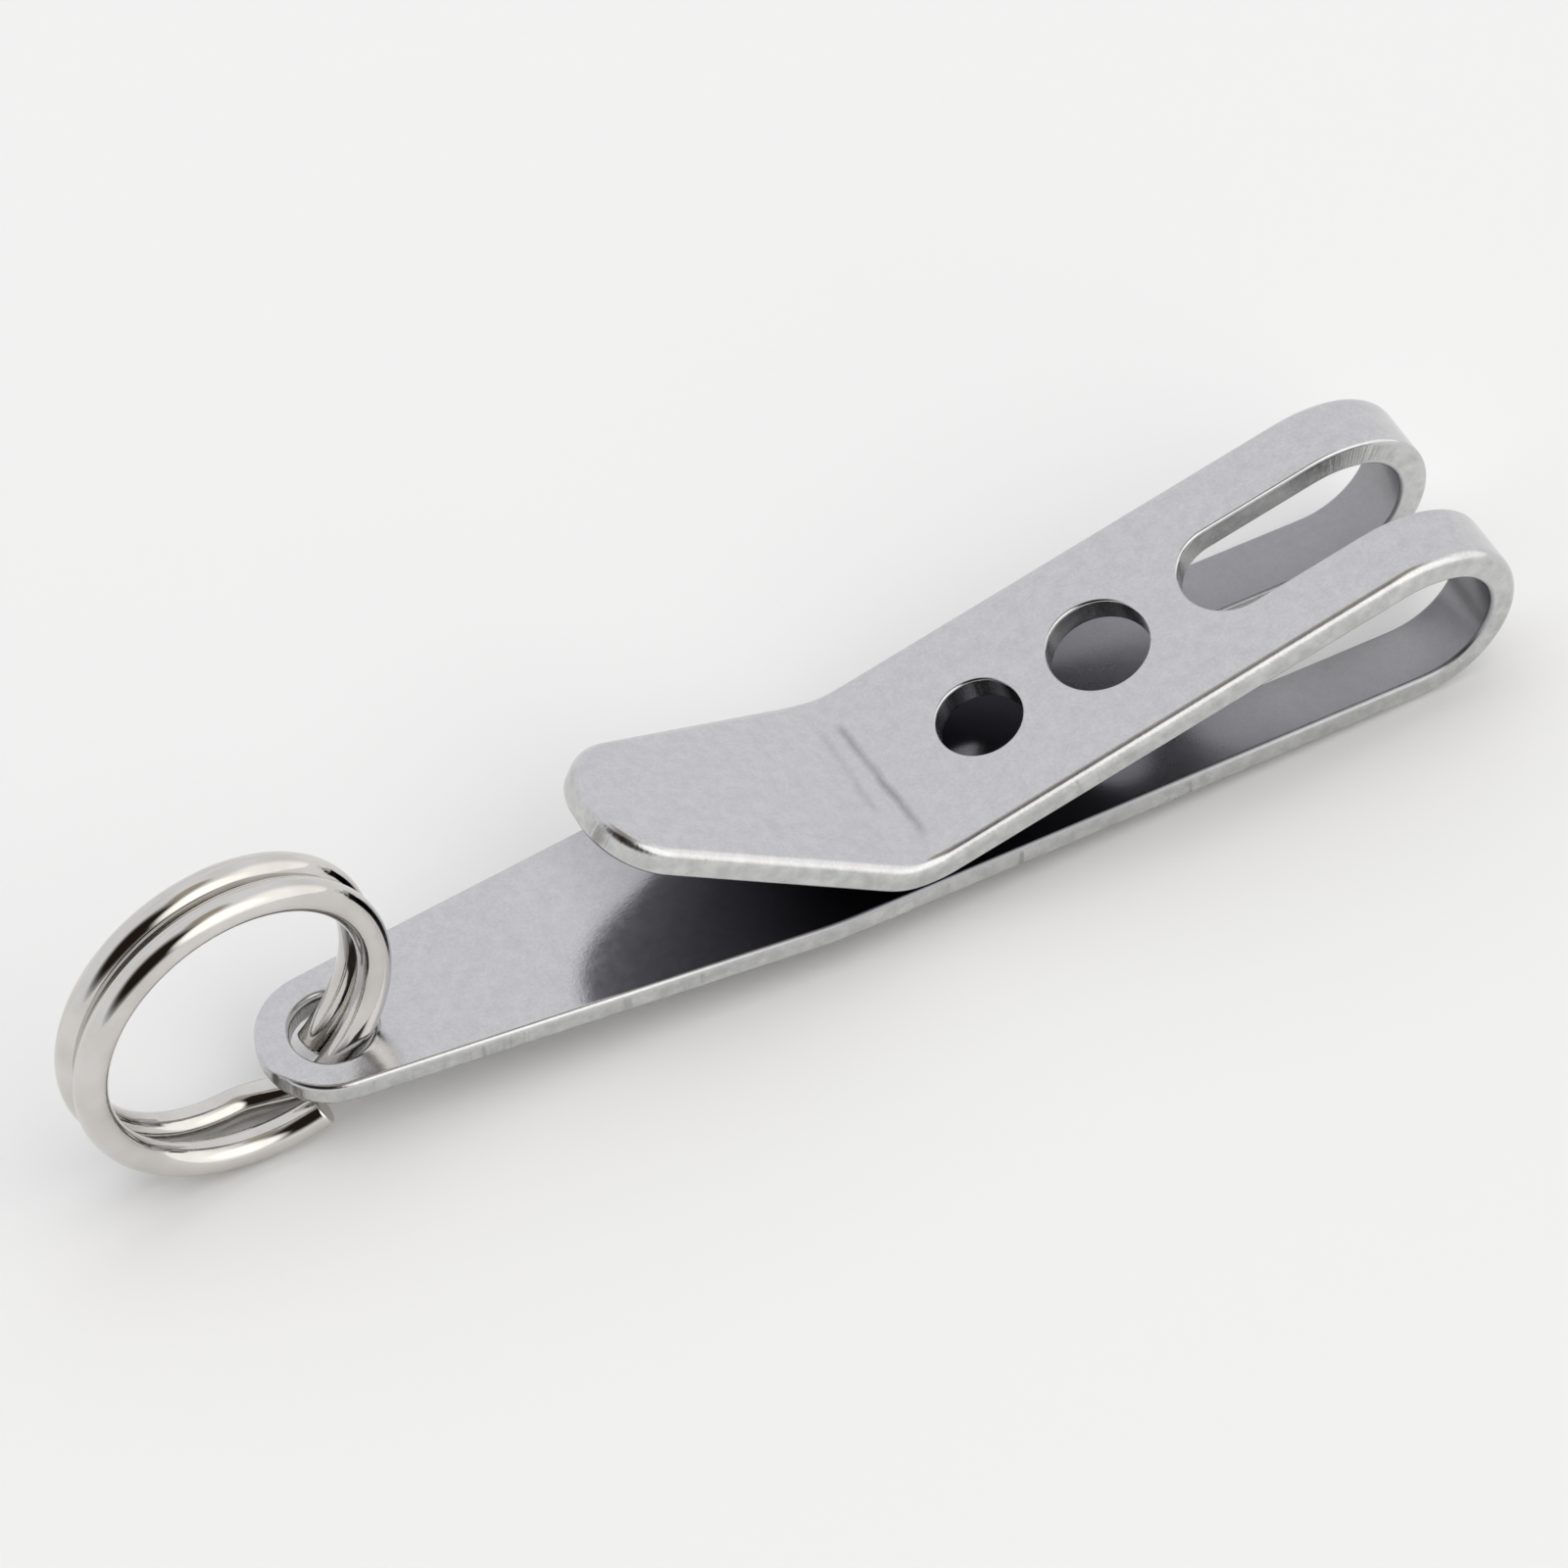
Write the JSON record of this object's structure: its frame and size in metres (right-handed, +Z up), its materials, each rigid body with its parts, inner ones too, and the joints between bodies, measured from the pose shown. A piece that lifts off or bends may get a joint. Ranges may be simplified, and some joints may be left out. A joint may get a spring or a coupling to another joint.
{
  "type": "pocket clip with split ring",
  "caption": "Folded spring-steel clip that grips a pocket edge or strap, with a round eye that carries a split ring for keys.",
  "frame": {"origin": "on the surface that the clip lies on, under the middle of its bounding box", "axes": "+X along the back strip from the split ring to the fold, +Y across the strip, +Z up from the surface towards the spring arm"},
  "size_m": [0.0632, 0.0104, 0.0152],
  "materials": {
    "clip_steel": "satin, tumbled stainless",
    "ring_nickel": "bright nickel"
  },
  "bodies": {
    "back_strip": {"back_strip": "clip_steel"},
    "spring_arm": {"spring_arm": "clip_steel"},
    "split_ring": {"split_ring": "ring_nickel"}
  },
  "joints": [
    {"name": "arm_flex", "type": "hinge", "parent": "back_strip", "child": "spring_arm", "pos_m": [0.03099, 0, 0.00406], "axis": [0, 1, 0], "range_deg": [0, 8], "stiffness_Nm_per_rad": 2},
    {"name": "ring_swivel", "type": "hinge", "parent": "back_strip", "child": "split_ring", "pos_m": [-0.02034, 0, 0.0027], "axis": [0.0431, 0, 0.9991], "range_deg": [-135, 120]}
  ]
}
